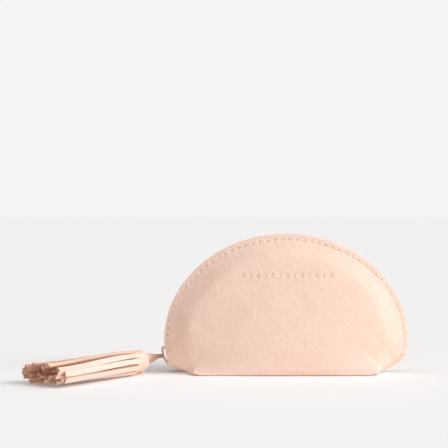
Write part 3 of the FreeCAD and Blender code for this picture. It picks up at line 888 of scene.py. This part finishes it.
def make_bridge():
    """Round wire arched over the slider, flattened a little toward its middle line."""
    points = [Vector((-ZIP_RADIUS - out, 0, ZIP_CENTRE + z)) for out, z in BRIDGE_LINE]
    fine = []
    for a, b, c, d in zip([points[0]] + points[:-2], points[:-1], points[1:], points[2:] + [points[-1]]):
        for k in range(6):
            t = k / 6
            fine.append(0.5 * ((2 * b) + (c - a) * t + (2 * a - 5 * b + 4 * c - d) * t * t
                               + (3 * b - a - 3 * c + d) * t ** 3))
    fine.append(points[-1])
    wire = Builder()
    side = Vector((0, 1, 0))
    frames = []
    for k in range(len(fine)):
        ahead = heading(fine, k)
        frames.append((side, ahead.cross(side).normalized()))
    wire.sweep(fine, frames, ellipse(0.82, 0.78, 16), [j * 0.25 for j in range(16)], 0)
    return wire.make("slider_bridge_wire", [METAL])


slider, bridge = make_slider(), make_bridge()
for piece, node in ((slider, "slider_body"), (bridge, "slider_bridge")):
    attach(piece, "slider")
    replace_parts(piece, node)


# ---------- tassel

LACE_LEVEL, BEND_START, BEND_END = 10.4, 3.4, 9.4  # height of the lace, and where along it the tassel bends


def make_lace():
    """One flat lace: out of the band, round the bridge and back, its two legs twisted together."""
    lace = Builder()
    far, turn_radius, level, band_level, narrow = 21.0, 1.30, LACE_LEVEL, 8.6, 2.3
    steps = 44

    def leg(t, side):
        """t from 0 at the bridge to 1 inside the band; the two legs cross and end one above the other."""
        s = far * t
        turn = math.radians(100) * float(smooth(t / 0.8))
        pinch = math.exp(-((t - 0.2) / 0.13) ** 2)
        spread = turn_radius - 0.50 * pinch + 0.45 * float(smooth(t / 0.8))
        level_now = level + (band_level - level) * float(smooth(t)) + 0.35 * math.sin(math.pi * t)
        offset = ASIDE * (side * (spread * math.cos(turn) + 0.30 * float(smooth(t))))
        offset -= UP * (side * spread * math.sin(turn))
        lean = math.radians(24) * math.sin(math.pi * min(1, t * 1.3))
        wide = UP * math.cos(lean) + ASIDE * math.sin(lean) * side
        return tassel_point(s, 0, level_now) + offset, wide, narrow + float(smooth(t / 0.7))

    places = [leg(1 - k / steps, 1) for k in range(steps)]
    for k in range(13):
        a = math.radians(90 - 180 * k / 12)
        places.append((tassel_point(-turn_radius * math.cos(a), turn_radius * math.sin(a), level), UP, narrow))
    places += [leg(k / steps, -1) for k in range(1, steps + 1)]
    centres = [p for p, _, _ in places]
    frames = []
    for k, (_, wide, _) in enumerate(places):
        ahead = heading(centres, k)
        thick = ahead.cross(wide).normalized()
        frames.append((thick.cross(ahead).normalized(), thick))
    scale = [(w / 2.0, 1.0) for _, _, w in places]
    half_thick = 0.47
    section = rounded_box(1.0, half_thick, 0.22, 2)
    marks = strip_marks(section, half_thick, -1)
    lace.sweep(centres, frames, section, strip_uv(section), marks, (0, 40), 1, scale)
    return lace.make("tassel_lace", [STRAND_SKIN, STRAND_EDGE])


def strip_uv(section):
    """Distance round a section, so that the grain keeps its size on each face."""
    total, out = 0.0, [0.0]
    for a, b in zip(section, section[1:]):
        total += math.dist(a, b)
        out.append(total)
    return out


def strip_marks(section, half, grain_side):
    """Material of each face round a strip: 0 on the grain side and 1 on the rest."""
    marks = []
    for a, b in zip(section, section[1:] + section[:1]):
        flat = abs(a[1] - b[1]) < 1e-6 and a[1] * grain_side > 0
        marks.append(0 if flat or (a[1] + b[1]) * grain_side > half * 1.9 else 1)
    return marks


BAND_START, BAND_END, BAND_RADIUS, BAND_AXIS = 17.5, 30.6, 8.35, 8.58
LAYER, STRIP = 1.75, 1.5  # from turn to turn of the roll, and the leather's thickness in it


def make_band():
    """The rolled strip above the slits: a spiral of leather, seen from its end as brown turns."""
    band = Builder()
    turns, steps, first_angle = 3.45, 250, math.radians(-84)
    lengths = [BAND_START + along for along in (0.0, 0.35, 1.0, 2.0, 3.4, 5.2, 9.0)] + [BAND_END + 1.2]
    shoulder = (3.3, 2.2, 1.25, 0.55, 0.15, 0.0, 0.0, 0.0)
    rows, uv_rows = [], []
    travelled = 0.0
    last = None
    for k in range(steps + 1):
        a = 2 * math.pi * turns * (k / steps)
        radius = BAND_RADIUS - LAYER * a / (2 * math.pi)
        angle = first_angle - a
        outer_turn = 1 - float(smooth((a - 5.4) / 1.8))
        outer, inner = [], []
        for i, s in enumerate(lengths):
            ease = shoulder[i] * (0.35 + 0.65 * outer_turn) * min(1, radius / 4)
            swell = 0.22 * math.sin(math.pi * min(1, max(0, (s - BAND_START) / 13)))
            wave = 0.10 * math.sin(3 * angle + 0.5 * s)
            start = s + (0.2 * math.sin(2.3 * a) if i < 3 else 0) + (0.9 * (1 - outer_turn) if i < 5 else 0)
            ro = radius - ease + (swell + wave) * outer_turn
            ri = radius - STRIP - ease
            outer.append(tassel_point(start, ro * math.cos(angle), BAND_AXIS + ro * math.sin(angle)))
            inner.append(tassel_point(start, ri * math.cos(angle), BAND_AXIS + ri * math.sin(angle)))
        if last:
            travelled += (outer[3] - last).length
        last = outer[3]
        rows.append(outer + inner[::-1])
        uv_rows.append([(s, travelled) for s in lengths + lengths[::-1]])
    marks = [0] * (len(lengths) - 1) + [1] * (len(lengths) + 1)
    band.tube(rows, uv_rows, marks, 1)
    return band.make("tassel_band_roll", [BAND_SKIN, STRAND_EDGE])


# Layers of the fringe from the outside in: radius in the roll, number of strands, first strand's angle.
FRINGE = ((7.35, 11, -22), (5.6, 12, -8), (3.9, 9, 12), (2.1, 5, 40))
HALF_STRAND = 0.74  # half a strand's thickness
FAN_SIDE, FAN_REACH, FAN_LEVEL, FAN_RISE = -9.6, 20.8, 7.3, 5.9  # middle and half size of the spread at the ends


def make_strands():
    """Cut strands of the roll: each keeps its place round the roll and fans out onto the floor."""
    strands = Builder()
    rng = random.Random(29)
    section = strand_section()
    marks = strand_marks(section)
    pieces, widest, clearance = 40, 4.4, 0.05
    for layer, (radius, number, first_angle) in enumerate(FRINGE):
        for n in range(number):
            angle = math.radians(first_angle + 360 * n / number + rng.uniform(-3, 3))
            width = min(widest, 2 * math.pi * (radius + 0.5) / number * 0.90) * rng.uniform(0.93, 1.0)
            c, s = math.cos(angle), math.sin(angle)
            start = tassel_point(BAND_END - 1.0, radius * c, BAND_AXIS + radius * s)
            half_high = width / 2 * abs(c) + HALF_STRAND * abs(s)
            share = (radius / FRINGE[0][0]) ** 0.8
            end_side = FAN_SIDE + FAN_REACH * share * c + rng.uniform(-1.2, 1.2)
            end_z = FAN_LEVEL + FAN_RISE * share * s + rng.uniform(-0.6, 0.6)
            end_z = max(half_high + 0.15, end_z)
            long = rng.uniform(64.5, 76.0) if layer else rng.uniform(69.0, 71.5) + 3.5 * (1 - c) / 2
            lateral = math.hypot(end_side - radius * c, end_z - BAND_AXIS - radius * s)
            end_s = BAND_END + math.sqrt(long * long - lateral * lateral)
            end = tassel_point(end_s, end_side, end_z)
            aim = (end - tassel_point(50, end_side * 0.35, 7.6 + (end_z - 7.6) * 0.6)).normalized()
            outward = ASIDE * c + UP * s
            mid_a = start + ALONG * 22 + UP * rng.uniform(-0.7, 1.3) + outward * (1.2 if layer == 0 else 0)
            mid_b = end - aim * 20 + UP * rng.uniform(-1.0, 0.8) + ASIDE * rng.uniform(-1.6, 1.6)
            twist_end = math.radians(rng.uniform(-30, 30) * (0.3 if layer == 0 else 1.4))
            centres, frames, scale = [], [], []
            for k in range(pieces + 1):
                t = k / pieces
                p = bezier(start, mid_a, mid_b, end, t)
                ahead = (bezier(start, mid_a, mid_b, end, min(1, t + 0.01))
                         - bezier(start, mid_a, mid_b, end, max(0, t - 0.01))).normalized()
                turn = twist_end * t * t + math.radians(7) * math.sin(math.pi * t) * math.sin(2.4 * n + layer)
                radial = (outward - ahead * outward.dot(ahead)).normalized()
                radial = Matrix.Rotation(turn, 3, ahead) @ radial
                wide = ahead.cross(radial).normalized()
                grow = 0.95 + 0.03 * math.sin(9 * t + n * 2.1) + 0.02 * math.sin(23 * t + n)
                grow -= 0.10 * math.exp(-((t - 0.12) / 0.10) ** 2)
                needed = (width / 2) * abs(wide.z) + HALF_STRAND * abs(radial.z) + clearance
                if p.z < needed:
                    p = Vector((p.x, p.y, needed))
                centres.append(p)
                frames.append((wide, radial))
                scale.append((width / 2 * grow, 1.0))
            ragged = 1.2 if layer else 0.25
            torn = [rng.uniform(-0.4, 0.4) * ragged for _ in section]
            strands.sweep(centres, frames, section, strip_uv([(x * width / 2, y) for x, y in section]), marks,
                          (n * 31.7 + layer * 11.3, n * 5.9), 2, scale, torn)
    made = strands.make("tassel_strands", [STRAND_SKIN, STRAND_EDGE, STRAND_END])
    crease(made, 42)
    return made


def strand_section():
    """Flat strip: slightly crowned grain face on top, crisp cut edges, flat flesh side below."""
    crown, edge = 0.10, 0.12
    top = [(x, HALF_STRAND - crown * x * x - (edge if abs(x) > 0.99 else 0))
           for x in (1.0, 0.93, 0.5, 0.0, -0.5, -0.93, -1.0)]
    bottom = [(-1.0, -HALF_STRAND + 0.06), (-0.95, -HALF_STRAND), (0.0, -HALF_STRAND), (0.95, -HALF_STRAND),
              (1.0, -HALF_STRAND + 0.06)]
    return top + bottom


def strand_marks(section):
    """Material of each face round a strand: 0 on the grain side and 1 on the rest."""
    return [0 if a[1] > 0.3 and b[1] > 0.3 and abs(a[0] - b[0]) > 0.01 else 1
            for a, b in zip(section, section[1:] + section[:1])]


lace, band, strands = make_lace(), make_band(), make_strands()
crease(lace, 50)
crease(band, 50)
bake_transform(lace)
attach(band, "tassel")
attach(strands, "tassel")
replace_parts(lace, "tassel_loop", "tassel_tail")
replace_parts(band, "tassel_band")
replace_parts(strands, "tassel_fringe")


# ---------- floor, light, camera

AMBIENT = 0.35
FLOOR_GLOW = 0.12
# Name, azimuth and elevation, strength, spread and colour.
SUNS = (("key", 72, 33, 2.3, 34, (0.99, 0.99, 1.015)),
        ("fill", 0, 25, 0.41, 60, (1.0, 0.975, 0.95)),
        ("top", 20, 82, 0.25, 60, (1, 1, 1)))


def floor_material():
    n = Nodes("pale_floor")
    n.set(Base_Color=(*srgb(242, 242, 242), 1), Roughness=0.9, Specular_IOR_Level=0.1)
    n.shader.inputs["Emission Color"].default_value = (1, 1, 1, 1)
    n.shader.inputs["Emission Strength"].default_value = FLOOR_GLOW
    return n.material


def make_floor():
    mesh = bpy.data.meshes.new("studio_floor")
    half = 4.0
    mesh.from_pydata([(-half, -half, 0), (half, -half, 0), (half, half, 0), (-half, half, 0)], [], [(0, 1, 2, 3)])
    mesh.materials.append(floor_material())
    floor = bpy.data.objects.new("studio_floor", mesh)
    floor.location.z = -0.0002
    bpy.context.scene.collection.objects.link(floor)


def make_camera():
    data = bpy.data.cameras.new("camera")
    data.sensor_width = 36
    data.lens = 118.1
    data.clip_start, data.clip_end = 0.05, 20
    camera = bpy.data.objects.new("camera", data)
    camera.location = (-0.0422, -1.0, 0.131)
    camera.rotation_euler = (math.radians(90 - 1.75), 0, 0)
    bpy.context.scene.collection.objects.link(camera)
    bpy.context.scene.camera = camera


def make_world():
    """Even studio light all round, with the floor's pale grey past the floor's edge."""
    world = bpy.data.worlds.new("studio")
    world.use_nodes = True
    tree = world.node_tree
    light = tree.nodes["Background"]
    light.inputs["Color"].default_value = (1.0, 0.975, 0.95, 1)
    light.inputs["Strength"].default_value = AMBIENT
    seen = tree.nodes.new("ShaderNodeBackground")
    seen.inputs["Color"].default_value = (*srgb(244, 244, 244), 1)
    ray = tree.nodes.new("ShaderNodeLightPath")
    mix = tree.nodes.new("ShaderNodeMixShader")
    tree.links.new(ray.outputs["Is Camera Ray"], mix.inputs[0])
    tree.links.new(light.outputs[0], mix.inputs[1])
    tree.links.new(seen.outputs[0], mix.inputs[2])
    tree.links.new(mix.outputs[0], tree.nodes["World Output"].inputs["Surface"])
    bpy.context.scene.world = world


def sun(name, azimuth, elevation, strength, spread, colour):
    """Soft distant light. Azimuth 0 comes from the camera's side and 90 from the right."""
    data = bpy.data.lights.new(name, "SUN")
    data.energy = strength
    data.angle = math.radians(spread)
    data.color = colour
    a, e = math.radians(azimuth), math.radians(elevation)
    toward = Vector((math.sin(a) * math.cos(e), -math.cos(a) * math.cos(e), math.sin(e)))
    lamp = bpy.data.objects.new(name, data)
    lamp.rotation_euler = toward.to_track_quat("Z", "Y").to_euler()
    bpy.context.scene.collection.objects.link(lamp)


make_floor()
make_world()
make_camera()
for settings in SUNS:
    sun(*settings)
bpy.context.scene.view_settings.view_transform = "Standard"
